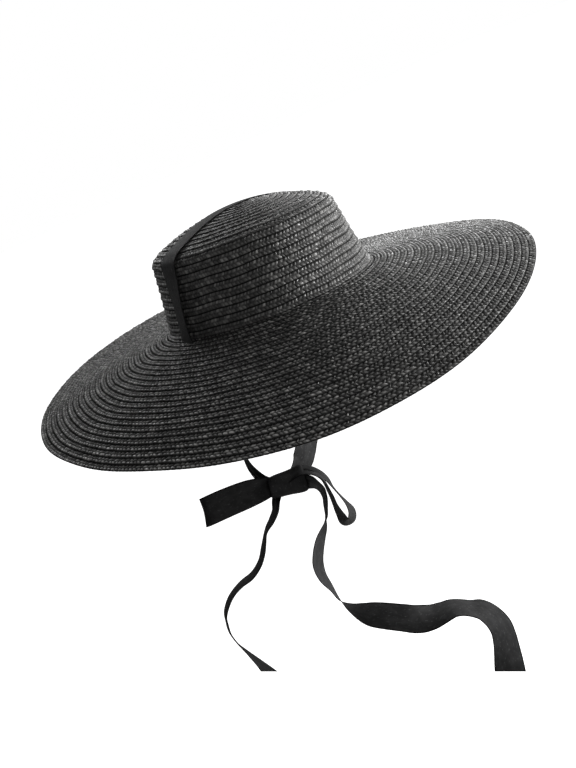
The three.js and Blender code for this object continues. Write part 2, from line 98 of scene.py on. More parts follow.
def meshFrom(name, parts, mapName):
    # each part holds points, uv, closeRows, closeColumns, turned and perhaps caps; all become one mesh
    places, faces, maps = [], [], []
    start = 0
    for part in parts:
        points, uv = part["points"], part["uv"]
        rows, columns = points.shape[:2]
        quads, corners = gridFaces(rows, columns, part["closeRows"], part["closeColumns"])
        spots = np.stack([uv[a, b] for a, b in corners], axis=-2).reshape(-1, 4, 2)
        if part["turned"]:
            quads, spots = quads[:, ::-1], spots[:, ::-1]
        places.append(points.reshape(-1, 3))
        faces.append(quads + start)
        maps.append(spots)
        if part.get("caps") is not None:
            faces.append(part["caps"] + start)
            maps.append(np.zeros((len(part["caps"]), 4, 2)) + spots[:1, :1])
        start += rows * columns
    places = np.concatenate(places) * mm
    faces = np.concatenate(faces)
    maps = np.concatenate(maps)
    mesh = bpy.data.meshes.new(name)
    mesh.vertices.add(len(places))
    mesh.vertices.foreach_set("co", places.astype(np.float32).ravel())
    mesh.loops.add(faces.size)
    mesh.loops.foreach_set("vertex_index", faces.astype(np.int32).ravel())
    mesh.polygons.add(len(faces))
    mesh.polygons.foreach_set("loop_start", np.arange(0, faces.size, 4, dtype=np.int32))
    mesh.polygons.foreach_set("loop_total", np.full(len(faces), 4, np.int32))
    mesh.polygons.foreach_set("use_smooth", np.ones(len(faces), bool))
    layer = mesh.uv_layers.new(name=mapName)
    layer.data.foreach_set("uv", maps.astype(np.float32).ravel())
    mesh.update()
    mesh.validate()
    thing = bpy.data.objects.new(name, mesh)
    scene.collection.objects.link(thing)
    print(name, "triangles", 2 * len(faces))
    return thing


# Shader maths as plain expressions
class Wire:
    # one output socket; sums on it add Math nodes to its tree
    def __init__(self, tree, socket):
        self.tree = tree
        self.socket = socket

    def node(self, kind, settings=None, values=None, out=0):
        return addNode(self.tree, kind, settings, values, out)

    def math(self, operation, *values):
        numbered = dict(enumerate(values))
        return self.node("ShaderNodeMath", {"operation": operation}, numbered)

    def __add__(self, other):
        return self.math("ADD", self, other)

    def __radd__(self, other):
        return self.math("ADD", other, self)

    def __sub__(self, other):
        return self.math("SUBTRACT", self, other)

    def __rsub__(self, other):
        return self.math("SUBTRACT", other, self)

    def __mul__(self, other):
        return self.math("MULTIPLY", self, other)

    def __rmul__(self, other):
        return self.math("MULTIPLY", other, self)

    def __truediv__(self, other):
        return self.math("DIVIDE", self, other)

    def __pow__(self, other):
        return self.math("POWER", self, other)

    def floor(self):
        return self.math("FLOOR", self)

    def fraction(self):
        return self.math("FRACT", self)

    def clip(self):
        return self.node("ShaderNodeClamp", None, {0: self})

    def ease(self, low, high):
        settings = {"interpolation_type": "SMOOTHSTEP"}
        return self.node("ShaderNodeMapRange", settings, {0: self, 1: low, 2: high, 3: 0.0, 4: 1.0})


def addNode(tree, kind, settings=None, values=None, out=0):
    # settings first, then each socket's value or link, by name or number
    node = tree.nodes.new(kind)
    for key, value in (settings or {}).items():
        setattr(node, key, value)
    for key, value in (values or {}).items():
        socket = node.inputs[key]
        if isinstance(value, Wire):
            tree.links.new(value.socket, socket)
        else:
            socket.default_value = value
    return Wire(tree, node.outputs[out])


def mixColour(factor, low, high):
    settings = {"data_type": "RGBA", "clamp_factor": True}
    return factor.node("ShaderNodeMix", settings, {0: factor, 6: low, 7: high}, out=2)


def joinVector(tree, x, y, z):
    return addNode(tree, "ShaderNodeCombineXYZ", None, {0: x, 1: y, 2: z})


def newMaterial(name, constants):
    material = bpy.data.materials.new(name)
    material.use_nodes = True
    tree = material.node_tree
    shader = tree.nodes["Principled BSDF"]
    for key, value in constants.items():
        shader.inputs[key].default_value = value
    return material, tree, shader


def parted(wire):
    # the three numbers of a vector or colour
    split = wire.tree.nodes.new("ShaderNodeSeparateXYZ")
    wire.tree.links.new(wire.socket, split.inputs[0])
    return [Wire(wire.tree, socket) for socket in split.outputs]


def mapAxes(tree, mapName):
    return parted(addNode(tree, "ShaderNodeUVMap", {"uv_map": mapName}))[:2]


def noiseAt(tree, spot, detail):
    values = {"Vector": spot, "Scale": 1.0, "Detail": detail}
    return addNode(tree, "ShaderNodeTexNoise", {"noise_dimensions": "3D"}, values)


# Straw finish: dyed plait whose strands differ in tone, gloss and lie, with painted shade in the gaps between
# strands, along the sewn seams and at the brim's edge
strawLook = {
    # painted shade: colour of the black shader mixed in between strands, along seams and at the rim
    "gap": (0.009, 0.009, 0.0088, 1.0),
    "dark": (0.036, 0.0357, 0.035, 1.0),
    "light": (0.3, 0.295, 0.286, 1.0),
    "rarity": 1.9,  # how few strands are light
    "streakRun": 0.11,  # slow change of tone along a lane
    "streakStep": 0.83,  # and from lane to lane
    "streakLow": 0.32,
    "streakHigh": 0.68,
    "streakGain": 1.1,
    "streakLeast": 0.3,
    "rimShadeFrom": 252.84,  # painted shade: the outermost round, from 252 to 253, darkens at its very edge, where its underside lies in shade
    "rimShadeTo": 253.0,
    "rimShadeFade": 0.12,
    "rimShadeEnd": 0.05,
    "roughLow": 0.20,
    "roughSpread": 0.34,
    "fibres": 6.0,
    "fibreStep": 3.7,  # each strand has other fibres
    "fibreRun": 0.9,
    "fibreTone": 0.15,
    "fibreRough": 0.08,
    "fibreRise": 0.25,
    "lieSpread": 1.3,  # how much strands tip their faces one way or another
    "lieAcross": 0.7,
    "strandRise": 0.9,
    "rise": 0.0007,
    "riseShare": 0.8,
    "dotLow": 0.05,
    "dotHigh": 0.95,
    "dot": {"crown": 0.48, "brim": 0.8},  # painted shade: how much darker a strand is painted at its ends and edges, where the gaps between strands lie in shade
    "seamShade": {"crown": 0.19, "brim": 0.32},  # painted shade: share of a round that is dark along its sewn edge, where it lies in the shade of the round before it
    "seamShadeFrom": 0.06,
    # share of the light tone that each piece's strands reach
    "toneReach": {"crown": 0.6, "brim": 0.76},
    "keyLitSide": (0.807, -0.591),  # toward the side of the hat where the key light falls; there the painted shade below is changed
    "keyLitFrom": -0.02,
    "keyLitTo": 0.15,
    "litSideSeamFill": 0.75,  # painted light: how much of the painted seam shade is taken away there
    "litSideToneDrop": 0.6,  # painted shade: how much darker and less varied the strands are painted there, to offset the light falling on that side
    "litSideDotFill": 0.3,
}


def strawMaterial(look, piece):
    material, tree, shader = newMaterial("dyed_straw_and_painted_shade_" + piece, {"Specular IOR Level": 0.4})
    along, over = mapAxes(tree, "braid")
    lane = (over * 2.0).floor()
    odd = (lane * 0.5).fraction() * 2.0
    turn = along + odd * 0.5
    strand = turn.floor()
    inStrand = turn.fraction()
    inLane = (over * 2.0).fraction()
    inRound = over.fraction()
    pick = joinVector(tree, strand, lane, 3.0)
    chance = addNode(tree, "ShaderNodeTexWhiteNoise", {"noise_dimensions": "3D"}, {0: pick}, out=1)
    tone, gloss, lie = parted(chance)
    fibrePlace = inStrand * look["fibres"] + strand * look["fibreStep"]
    fibre = noiseAt(tree, joinVector(tree, fibrePlace, inLane * look["fibreRun"], lane), 2.0)
    streakSpot = joinVector(tree, along * look["streakRun"], lane * look["streakStep"], 5.0)
    streak = noiseAt(tree, streakSpot, 1.0)
    acrossStrand = inStrand * (1.0 - inStrand) * 4.0
    acrossLane = inLane * (1.0 - inLane) * 4.0
    x, y, _ = parted(addNode(tree, "ShaderNodeTexCoord", out=3))
    # painted light: toward the key-lit side the painted seam and strand shade fade out, and the strands are
    # painted darker
    keyLit = (x * look["keyLitSide"][0] + y * look["keyLitSide"][1]).ease(look["keyLitFrom"], look["keyLitTo"])
    deep_shade = look["dot"][piece] * (1.0 - keyLit * look["litSideDotFill"])
    # painted shade between strands, deepest at their ends and edges
    dot = 1.0 - (1.0 - (acrossStrand * acrossLane).ease(look["dotLow"], look["dotHigh"])) * deep_shade
    # painted shade along each round's sewn edge, mixed with the painted shade between strands
    seamShade = inRound.ease(look["seamShadeFrom"], look["seamShade"][piece])
    unshaded = dot * (seamShade + (1.0 - seamShade) * keyLit * look["litSideSeamFill"])
    patch = streak.ease(look["streakLow"], look["streakHigh"]) * look["streakGain"] + look["streakLeast"]
    light = (tone ** look["rarity"]) * patch * look["toneReach"][piece]
    toneAndLitSideShade = light * (1.0 - keyLit * look["litSideToneDrop"]) + fibre * look["fibreTone"]
    body = mixColour(toneAndLitSideShade, look["dark"], look["light"])
    # painted shade at the very edge of the brim's outermost round
    pastRimShade = over.ease(look["rimShadeTo"], look["rimShadeTo"] + look["rimShadeEnd"])
    rimShade = over.ease(look["rimShadeFrom"], look["rimShadeFrom"] + look["rimShadeFade"]) * (1.0 - pastRimShade)
    rough = gloss * look["roughSpread"] + look["roughLow"] + fibre * look["fibreRough"]
    tip = (inStrand - 0.5) * (lie - 0.5) + (inLane - 0.5) * (gloss - 0.5) * look["lieAcross"]
    bulge = acrossStrand * acrossLane * look["strandRise"]
    height = bulge + tip * look["lieSpread"] + fibre * look["fibreRise"]
    bumpValues = {"Strength": look["riseShare"], "Distance": look["rise"], "Height": height}
    bump = addNode(tree, "ShaderNodeBump", None, bumpValues)
    tree.links.new(body.socket, shader.inputs["Base Color"])
    tree.links.new(rough.socket, shader.inputs["Roughness"])
    tree.links.new(bump.socket, shader.inputs["Normal"])
    # painted shade: a black shader mixed in wherever the masks above fall
    shade = addNode(tree, "ShaderNodeBsdfDiffuse", None, {"Color": look["gap"]})
    straw = Wire(tree, shader.outputs[0])
    strawAndShade = addNode(tree, "ShaderNodeMixShader", None, {0: unshaded * (1.0 - rimShade), 1: shade, 2: straw})
    tree.links.new(strawAndShade.socket, tree.nodes["Material Output"].inputs["Surface"])
    return material


# Ribbon finish: matte black weave with fine cross ribs, slight mottling, a few flecks and firm dark edges, in
# one copy per run, painted lighter or darker as light and shade
ribbonWidth = 23.0
ribbonLook = {
    "dark": (0.0125, 0.0125, 0.0128, 1.0),
    "light": (0.026, 0.026, 0.0264, 1.0),
    "fleck": (0.055, 0.055, 0.056, 1.0),
    "edge": (0.005, 0.005, 0.0051, 1.0),
    "ribPitch": 0.85,
    "ribTone": 0.25,
    "ribRise": 0.5,
    "threadPitch": 0.6,
    "threadTone": 0.15,
    "threadRise": 0.25,
    "weaveShare": 0.4,
    "mottleAlong": 0.12,
    "mottleOver": 0.2,
    "mottleLow": 0.35,
    "mottleHigh": 0.7,
    "mottleShare": 0.6,
    "mottleRough": 0.2,
    "mottleRise": 0.8,
    "fleckAlong": (0.34, 0.22),  # flecks are drawn out and lie aslant
    "fleckOver": (0.75, -0.12),
    "fleckLow": 0.60,
    "fleckHigh": 0.74,
    "fleckShare": 0.5,
    "edgeWidth": 1.1,
    "edgeFirm": 0.4,
    "roughness": 0.55,
    "rise": 0.0003,
    "riseShare": 0.3,
    # painted light and shade: each run's copy is scaled lighter or darker for how the light falls on it
    "paintedLight": {"crown": 1.55, "tie": 1.45, "right": 1.25, "left": 0.75, "deep_shade": 0.22},
}


def ribbonMaterial(look, run):
    material, tree, shader = newMaterial("woven_ribbon_painted_light_" + run, {"Specular IOR Level": 0.06})
    along, over = mapAxes(tree, "ribbon")
    rib = along * (2.0 * math.pi / look["ribPitch"])
    ribWave = rib.math("SINE", rib)
    thread = over * (2.0 * math.pi / look["threadPitch"])
    threadWave = thread.math("SINE", thread)
    mottle = noiseAt(tree, joinVector(tree, along * look["mottleAlong"], over * look["mottleOver"], 0.0), 3.0)
    fleckX = along * look["fleckAlong"][0] + over * look["fleckAlong"][1]
    fleckY = over * look["fleckOver"][0] + along * look["fleckOver"][1]
    fleck = noiseAt(tree, joinVector(tree, fleckX, fleckY, 7.0), 1.0)
    fromEdge = over.math("ABSOLUTE", over)
    edge = ribbonWidth / 2
    firm = fromEdge.ease(edge - look["edgeWidth"], edge - look["edgeWidth"] * look["edgeFirm"])
    weave = ribWave * look["ribTone"] + threadWave * look["threadTone"] + 0.5
    blotch = mottle.ease(look["mottleLow"], look["mottleHigh"])
    tone = (blotch * look["mottleShare"] + weave * look["weaveShare"]).clip()
    body = mixColour(tone, look["dark"], look["light"])
    flecks = fleck.ease(look["fleckLow"], look["fleckHigh"]) * look["fleckShare"]
    colour = mixColour(firm, mixColour(flecks, body, look["fleck"]), look["edge"])
    # painted light and shade: the run's colour scaled lighter or darker
    scaled = {0: colour, "Scale": look["paintedLight"][run]}
    paintedLightColour = addNode(tree, "ShaderNodeVectorMath", {"operation": "SCALE"}, scaled)
    rough = mottle * look["mottleRough"] + look["roughness"]
    height = ribWave * look["ribRise"] + threadWave * look["threadRise"] + mottle * look["mottleRise"]
    bumpValues = {"Strength": look["riseShare"], "Distance": look["rise"], "Height": height}
    bump = addNode(tree, "ShaderNodeBump", None, bumpValues)
    tree.links.new(paintedLightColour.socket, shader.inputs["Base Color"])
    tree.links.new(rough.socket, shader.inputs["Roughness"])
    tree.links.new(bump.socket, shader.inputs["Normal"])
    return material


straw = {piece: strawMaterial(strawLook, piece) for piece in strawLook["seamShade"]}
ribbon = {run: ribbonMaterial(ribbonLook, run) for run in ribbonLook["paintedLight"]}
print("materials made")


# Sewn braid: each round of braid is a closed band, its outer edge lying over the next round's inner edge.
# A round is flat plait of two lanes of leaning strands, so its columns are V-shaped and follow the strands.
braid = {
    "lean": 0.36,  # how far a strand runs on while it crosses its lane, in strands
    "thick": 0.85,
    "edgeThin": 0.4,  # how much thinner a round is at its edges
    "laneRise": 0.28,
    "strandRise": 0.9,
    "strandMiddle": 0.45,
    "strandSpread": (0.35, 1.5),  # strands rise more or less than that
    "underRise": 0.4,  # the underside has less relief
    "sway": 0.2,  # slow wander, the same for rounds that lie side by side
    "swayWaves": ((5, 0.05, 0.0), (9, -0.037, 1.9), (14, 0.061, 4.1)),  # waves round the hat, drift, start
    "swayRun": 25.0,
    "uneven": 0.36,  # wander of the strands' ends, in strands
    "tuck": 2.2,  # rise of the hidden inner edge into the round before it, which closes the seam
    "upper": (-0.24, -0.02, 0.09, 0.26, 0.44, 0.56, 0.74, 0.91, 1.0),  # shares of the width that shows
    "under": (0.95, 0.4, -0.2),
    "fewest": 6,  # strands in the smallest round
    "samples": 1441,
    "mapRound": 4.0,  # v from one round to the next, the top from 0 to 1 and the underside from 2 to 3
    "mapUnder": 2.0,
}


def strandHeight(share, phase, rises):
    # a strand is round across its run and highest in the middle of its lane; lanes are half a strand apart
    lane = (share >= 0.5).astype(int)
    inLane = np.clip((share - 0.5 * lane) * 2.0, 0.0, 1.0)
    shifted = phase + 0.5 * lane
    lot = np.floor(shifted).astype(int) % len(rises)
    across = np.abs(np.sin(np.pi * shifted))
    along = 1.0 - (2.0 * inLane - 1.0) ** 4
    rise = braid["strandRise"] * rises[lot, lane] * (across - braid["strandMiddle"])
    return along * (braid["laneRise"] + rise)


def swayAt(t, place):
    # three slow waves round the hat, drifting from round to round and dying out toward the start
    waves = sum(np.sin(count * t + drift * place + start) for count, drift, start in braid["swayWaves"])
    return braid["sway"] * waves * np.clip(place / braid["swayRun"], 0.0, 1.0)


def braidRound(surface, inner, outer, number, look):
    # surface(t, a) gives points; the round shows between two values of a and runs once round in t
    t = np.linspace(0.0, 2.0 * np.pi, braid["samples"])
    line = surface(t, np.full_like(t, 0.5 * (inner + outer)))
    arc = np.concatenate([[0.0], np.cumsum(np.linalg.norm(np.diff(line, axis=0), axis=1))])
    strands = max(braid["fewest"], int(round(arc[-1] / look["strand"])))
    columns = strands * look["columns"]
    share = np.array(braid["upper"] + braid["under"])
    face = np.where(np.arange(len(share)) < len(braid["upper"]), 1.0, -1.0)
    phase = np.arange(columns)[:, None] / look["columns"]
    ends = draw.uniform(-braid["uneven"], braid["uneven"], strands)
    wander = np.interp(phase, np.arange(strands + 1), np.append(ends, ends[0]))
    lean = braid["lean"] * np.abs(2.0 * share - 1.0)[None, :]
    leaning = phase + wander + lean + draw.uniform(0.0, strands)
    angle = np.interp((leaning / strands * arc[-1]) % arc[-1], arc, t)
    place = inner + share[None, :] * (outer - inner)
    place = np.maximum(place + swayAt(angle, place), look["start"])
    step = 1e-3
    spot = surface(angle, place)
    dAcross = surface(angle, place + step) - spot
    dAlong = surface(angle + step, place) - spot
    normal = unit(np.cross(dAcross, dAlong))
    rises = draw.uniform(*braid["strandSpread"], (strands, 2))
    grid = np.broadcast_to(share[None, :], leaning.shape)
    relief = strandHeight(grid, np.broadcast_to(phase, leaning.shape), rises)
    fromMiddle = 2.0 * np.maximum(share, 0.0) - 1.0
    middle = look["tilt"] * fromMiddle - look["sink"] + braid["tuck"] * np.maximum(-share, 0.0)
    half = 0.5 * braid["thick"] * (1.0 - braid["edgeThin"] * fromMiddle**4)
    relief = relief * np.where(face > 0, 1.0, braid["underRise"])[None, :]
    height = middle[None, :] + face[None, :] * (half[None, :] + relief)
    points = spot + normal * height[..., None]
    start = number * braid["mapRound"]
    over = np.append(start + share + np.where(face > 0, 0.0, braid["mapUnder"]), start + braid["mapUnder"])
    along = np.arange(columns + 1)[:, None] / look["columns"]
    uv = np.stack(np.broadcast_arrays(along, over[None, :]), axis=-1)
    return {"points": points, "uv": uv, "closeRows": True, "closeColumns": True, "turned": True}


def smoothPath(points, count):
    # centripetal Catmull-Rom through the points, evenly spaced in the table's own steps
    p = np.asarray(points, float)
    longer = np.vstack([2 * p[0] - p[1], p, 2 * p[-1] - p[-2]])
    place = np.linspace(0.0, len(p) - 1.0, count)
    low = np.minimum(place.astype(int), len(p) - 2)
    w = (place - low)[:, None]
    a, b, c, d = (longer[low + k] for k in range(4))
    gap = [np.linalg.norm(y - x, axis=1, keepdims=True) ** 0.5 for x, y in ((a, b), (b, c), (c, d))]
    first = ((b - a) / gap[0] - (c - a) / (gap[0] + gap[1]) + (c - b) / gap[1]) * gap[1]
    second = ((c - b) / gap[1] - (d - b) / (gap[1] + gap[2]) + (d - c) / gap[2]) * gap[1]
    return b + first * w + (3 * (c - b) - 2 * first - second) * w**2 + (2 * (b - c) + first + second) * w**3


# Crown: half width and height of its outer face from the foot to the top, and the oval it stands on
crown = {
    "profile": (
        (85.8, 0.9), (84.0, 3.6), (83.1, 7.0), (81.4, 17.0), (78.9, 32.0), (76.3, 49.0), (75.0, 57.5),
        (74.4, 60.4), (72.2, 62.9), (67.8, 66.1), (59.7, 69.8), (45.1, 75.0), (30.6, 78.7), (14.6, 81.3),
        (0.0, 82.0),
    ),
    "samples": 600,
    "edge": 73.5,  # half width where wall turns into dome
    "longer": 17.0,  # the oval is longer front to back by this on each side
    "lineEnds": 5.0,  # how sharply the short line in the middle of the top ends
    "domeLean": -0.013,  # the dome stands a little higher at the back
    "tip": -0.018,  # the top tips, higher at the left ear, from this height up to the edge
    "tipFrom": 20.0,
    "tipTo": 62.0,
    "rounds": 22,
    "strand": 3.2,  # run of one strand along the braid
    "columns": 3,  # columns of the mesh in each strand
    "wallRounds": 10,
    "sink": 0.8,  # middle of the straw below the outer face
    "tilt": 0.5,  # outer edge of a round up, inner edge down
    "start": 0.02,
}
crownLine = smoothPath(crown["profile"][::-1], crown["samples"])
crownRun = np.concatenate([[0.0], np.cumsum(np.linalg.norm(np.diff(crownLine, axis=0), axis=1))])
domeLine = crownLine[crownLine[:, 0] <= crown["edge"]]


def tipAt(x, z):
    return crown["tip"] * x * np.clip((z - crown["tipFrom"]) / (crown["tipTo"] - crown["tipFrom"]), 0.0, 1.0)


def crownSurface(t, a):
    # a runs from the middle of the top down to the foot; the wall is an oval at each height, and on the dome
    # the rounds keep their distance, from a short line in the middle out to the same oval
    half = np.interp(a, crownRun, crownLine[:, 0])
    height = np.interp(a, crownRun, crownLine[:, 1])
    square = crown["lineEnds"] * np.clip(1.0 - half / crown["edge"], 0.0, 1.0) ** 2 + 1e-3
    longer = crown["longer"] * np.tanh(square * np.sin(t)) / np.tanh(square)
    x = half * np.cos(t)
    y = half * np.sin(t) + longer
    edgeY = crown["edge"] + crown["longer"]
    reach = np.sqrt((x / crown["edge"]) ** 2 + (y / edgeY) ** 2)
    domeHeight = np.interp(reach * crown["edge"], domeLine[:, 0], domeLine[:, 1])
    domeHeight = domeHeight + crown["domeLean"] * y * (1.0 - reach**2)
    z = np.where(half < crown["edge"], domeHeight, height)
    return np.stack([x, y, z + tipAt(x, z)], axis=-1)


def crownRounds(first, last):
    pitch = crownRun[-1] / crown["rounds"]
    return [braidRound(crownSurface, n * pitch, (n + 1) * pitch, n, crown) for n in range(first, last)]


# Brim: width and droop round the oval, in waves of cosine and sine, and the bow of its section
brim = {
    "headX": 84.0,
    "headY": 101.0,
    "waves": (  # waves, width cosine, width sine, droop cosine, droop sine
        (0, 128.8, 0.0, 32.9, 0.0),
        (1, 1.4, 6.8, -13.0, -25.4),
        (2, 2.1, -2.2, -0.3, 4.5),
        (3, 0.0, -0.2, 2.0, 2.6),
        (4, -0.1, -0.1, 0.4, -0.3),
    ),
    "bow": 0.27,
    "roundsAcross": 23.6,
    "rounds": 24,
    "pieceEnds": (9, 15, 20),
    "firstNumber": 40,  # clear of the crown's rounds
    "strand": 4.0,
    "columns": 4,
    "sink": 0.0,
    "tilt": 0.48,
    "start": -4.5,
}


def brimSurface(t, share):
    # the oval grows along its own normal by a share of the width, and falls by the droop
    width = sum(c * np.cos(n * t) + s * np.sin(n * t) for n, c, s, _, _ in brim["waves"])
    droop = sum(c * np.cos(n * t) + s * np.sin(n * t) for n, _, _, c, s in brim["waves"])
    out = unit(np.stack([brim["headY"] * np.cos(t), brim["headX"] * np.sin(t)], axis=-1))
    x = brim["headX"] * np.cos(t) + out[..., 0] * width * share
    y = brim["headY"] * np.sin(t) + out[..., 1] * width * share
    z = -droop * ((1.0 - brim["bow"]) * share + brim["bow"] * share * share)
    return np.stack([x, y, z], axis=-1)


def brimByMillimetre(t, a):
    # a is in millimetres of the mean width, so that a round's sway and overlap are too
    return brimSurface(t, a / brim["waves"][0][1])


def brimRounds(first, last):
    mean = brim["waves"][0][1]
    pitch = mean / brim["roundsAcross"]
    outer = [mean - (brim["rounds"] - 1 - n) * pitch for n in range(brim["rounds"])]
    number = brim["firstNumber"]
    return [
        braidRound(brimByMillimetre, outer[n] - pitch, outer[n], number + n, brim) for n in range(first, last)
    ]


def finishPiece(thing, material, slot, *nodes):
    thing.data.materials.append(material)
    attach(thing, "root")
    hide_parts(*nodes)


domeRounds = crown["rounds"] - crown["wallRounds"]
innerEnd, middleEnd, outerEnd = brim["pieceEnds"]
strawPieces = (
    ("crown_top_rounds", crownRounds(0, domeRounds), "crown"),
    ("crown_wall_rounds", crownRounds(domeRounds, crown["rounds"]), "crown"),
    ("brim_inner_rounds", brimRounds(0, innerEnd), "brim"),
    ("brim_middle_rounds", brimRounds(innerEnd, middleEnd), "brim"),
    ("brim_outer_rounds", brimRounds(middleEnd, outerEnd), "brim"),
    ("brim_edge_rounds", brimRounds(outerEnd, brim["rounds"]), "brim"),
)
for pieceName, rounds, node in strawPieces:
    finishPiece(meshFrom(pieceName, rounds, "braid"), straw[node], "straw", node)
print("straw sewn")


# Ribbon: a band carried along a path, with its own wide direction, width and soft hollow at each step
band = {
    "width": ribbonWidth,
    "thick": 0.6,
    "across": 10,
    "cup": 0.5,
    "pleat": 2.4,
    "pleatWaves": 1.5,
    "sharp": 50.0,  # degrees between faces that keep a sharp edge
    "cutRun": 24.0,  # stretch that takes up a slanting cut
}


def columnAt(values, count, start=0.0, end=None):
    # a table's column as a smooth curve through its rows, over an even run of the table
    values = np.asarray(values, float)
    longer = np.concatenate([values[:1], values, values[-1:]])
    place = np.linspace(start, len(values) - 1.0 if end is None else end, count)
    place = np.clip(place, 0.0, len(values) - 1.0)
    low = np.minimum(place.astype(int), len(values) - 2)
    w = place - low
    a, b, c, d = (longer[low + k] for k in range(4))
    first, second, step = (c - a) / 2, (d - b) / 2, c - b
    return b + first * w + (3 * step - 2 * first - second) * w**2 + (first + second - 2 * step) * w**3


def bandPart(path, wide, gather):
    # the section is a thin strip: flat where the ribbon is at its full width, pleated where it is gathered
    run = unit(np.gradient(path, axis=0))
    wide = unit(wide - run * np.sum(wide * run, axis=1, keepdims=True))
    face = np.cross(run, wide)
    q = np.linspace(-1.0, 1.0, band["across"] + 1)[None, :]
    bulge = band["cup"] * np.minimum(gather, 1.0)[:, None] * (1.0 - q * q)
    fold = band["pleat"] * np.clip(1.0 - gather, 0.0, 1.0)[:, None] * np.sin(band["pleatWaves"] * np.pi * q)
    middle = path[:, None, :] + wide[:, None, :] * (q * band["width"] / 2 * gather[:, None])[..., None]
    middle = middle + face[:, None, :] * (bulge + fold)[..., None]
    lift = face[:, None, :] * band["thick"] / 2
    points = np.concatenate([middle + lift, (middle - lift)[:, ::-1]], axis=1)
    length = np.concatenate([[0.0], np.cumsum(np.linalg.norm(np.diff(path, axis=0), axis=1))])
    over = np.concatenate([q[0], q[0, ::-1], q[0, :1]]) * band["width"] / 2
    uv = np.stack(np.broadcast_arrays(length[:, None], over[None, :]), axis=-1)
    side = band["across"] + 1
    j = np.arange(side - 1)
    cap = np.stack([j, j + 1, 2 * side - 2 - j, 2 * side - 1 - j], axis=1)
    last = (len(path) - 1) * 2 * side
    part = {"points": points, "uv": uv, "closeRows": False, "closeColumns": True, "turned": False}
    part["caps"] = np.concatenate([cap, cap[:, ::-1] + last])
    return part, length[-1]


def cutLevel(part, path, level):
    # the last stretch slides along the ribbon until its end lies in one plane, as a slanting cut
    run = unit(path[-1] - path[-2])
    points = part["points"]
    above = bowAxes[1] - bow["tailSlope"] * bowAxes[2]
    short = (level - (points[-1] - np.array(bow["middle"])) @ above) / (run @ above)
    left = np.linalg.norm(np.diff(path, axis=0), axis=1)[::-1].cumsum()[::-1]
    share = np.clip(1.0 - np.append(left, 0.0) / band["cutRun"], 0.0, 1.0) ** 2
    part["points"] = points + (share[:, None] * short[None, :])[..., None] * run


def addRibbon(name, node, run, path, wide, gather, level=None):
    part, length = bandPart(path, wide, gather)
    if level is not None:
        cutLevel(part, path, level)
    thing = meshFrom(name, [part], "ribbon")
    thing.data.set_sharp_from_angle(angle=math.radians(band["sharp"]))
    finishPiece(thing, ribbon[run], "ribbon", node)


# Ribbon over the crown: out from the axis, height, turn of its near edge from the wall, place front to back
crownRibbon = {
    "side": (
        (87.9, -8.0, 9.0, -3.4), (87.9, -3.0, 9.0, -3.4), (87.9, 1.5, 9.0, -3.4), (87.6, 5.0, 11.0, -3.2),
        (86.9, 9.0, 12.5, -3.0), (84.6, 20.0, 13.5, -2.6), (81.6, 34.0, 10.5, -2.4), (78.1, 49.0, 4.5, -2.4),
        (76.3, 57.9, 2.0, -2.4), (75.7, 60.9, 0.5, -2.4), (74.3, 62.9, 0.0, -2.4), (71.6, 65.1, 0.0, -2.4),
        (68.3, 67.4, 0.0, -2.4),
    ),
    "over": (-0.72, -0.5, -0.25, 0.0, 0.25, 0.5, 0.72),
    "behind": -2.4,  # its middle lies this far behind the ears
    "wallHeight": 63.6,
    "domeRise": 18.4,
    "lift": 0.6,
    "sections": 240,
}


def crownRibbonPiece(look):
    side = np.array(look["side"])
    share = np.array(look["over"])
    over = np.zeros((len(share), 4))
    over[:, 0] = -share * crown["edge"]
    over[:, 1] = look["wallHeight"] + look["domeRise"] * (1.0 - share**2) + look["lift"]
    over[:, 3] = look["behind"]
    down = side[::-1] * np.array([-1.0, 1.0, -1.0, 1.0])
    rows = np.concatenate([side, over, down])
    points = np.stack([-rows[:, 0], rows[:, 3], rows[:, 1]], axis=1)
    points[:, 2] += tipAt(points[:, 0], points[:, 2])
    path = smoothPath(points, look["sections"])
    turn = np.radians(columnAt(rows[:, 2], look["sections"]))
    wide = np.stack([np.sin(turn), np.cos(turn), 0.0 * turn], axis=1)
    full = np.ones(len(path))
    addRibbon("crown_ribbon_band", "crown_ribbon", "crown", path, wide, full)


# Bow: where it hangs, and each run to the right, up and toward the viewer from the knot's middle.
# Turn is the roll of the band about its own run, 0 with its face to the viewer; gather is its width share.
bow = {
    "middle": (-72.5, -23.9, -138.0),
    "slotOut": 87.9,
    "slotBehind": -3.4,
    "slotTurn": 9.0,
    "tieTop": -8.35,
    "tieBelow": -14.0,
    "tieLead": 2.0,  # rows of the way out of the slot, before a tie's own table
    "tieTurnFrom": 0.6,
    "tieTurnRun": 1.4,
    "tailLevel": -154.0,
    "tailSlope": 0.256,  # the cut rises by this share toward the viewer, so that it looks level
}
bowAxes = np.stack(viewAxes(pictureView))
tieLeft = (
    (-53.5, 65.5, 8, 70, 1), (-38.8, 35, 0, 78, 1), (-31.6, 22, -3.5, 81, 0.85),
    (-25.4, 11.5, -5.5, 71, 0.66), (-17.5, 4, -5.6, 60, 0.5), (-5, 0, -3.5, 60, 0.3),
)
tieRight = (
    (38, 112, -42, 137, 1), (20.3, 36, -17, 140, 1), (18.4, 26, -14, 146, 0.94), (15.8, 17.5, -12, 158, 0.82),
    (10, 9.5, -8.6, 160, 0.5), (4, 2, -3.5, 160, 0.3),
)
